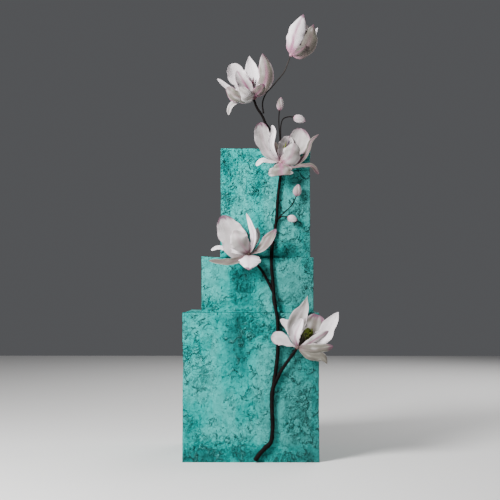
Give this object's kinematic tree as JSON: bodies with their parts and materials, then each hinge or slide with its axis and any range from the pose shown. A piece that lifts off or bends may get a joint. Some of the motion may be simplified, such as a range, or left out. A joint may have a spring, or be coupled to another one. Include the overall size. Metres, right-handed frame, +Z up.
{
  "type": "wedding cake",
  "caption": "Tall square tiered wedding cake in crackled teal icing, with a dark branch of white sugar magnolias and buds climbing its front.",
  "frame": {"origin": "centre of the bottom tier's underside", "axes": "+Z up through the tiers; the branch and flowers are on the -Y front, and +X is to the right seen from there"},
  "size_m": [0.2875, 0.2996, 0.8284],
  "materials": {
    "icing": "matte crackled icing with a washed teal glaze",
    "sugar_petal": "matte thin sugar paste, dusted pink at tips and base",
    "bud_sugar": "matte sugar paste with pink veins",
    "bark": "rough dark brown taped wire"
  },
  "bodies": {
    "root": {"tier_bottom": "icing", "tier_middle": "icing", "tier_top": "icing", "branch": "bark", "stem_top": "bark", "flower_top": "sugar_petal", "flower_upper": "sugar_petal", "flower_crown": "sugar_petal", "flower_left": "sugar_petal", "flower_right": "sugar_petal", "bud_high": "bud_sugar", "bud_beside": "bud_sugar", "bud_upper": "bud_sugar", "bud_lower": "bud_sugar"}
  },
  "joints": []
}
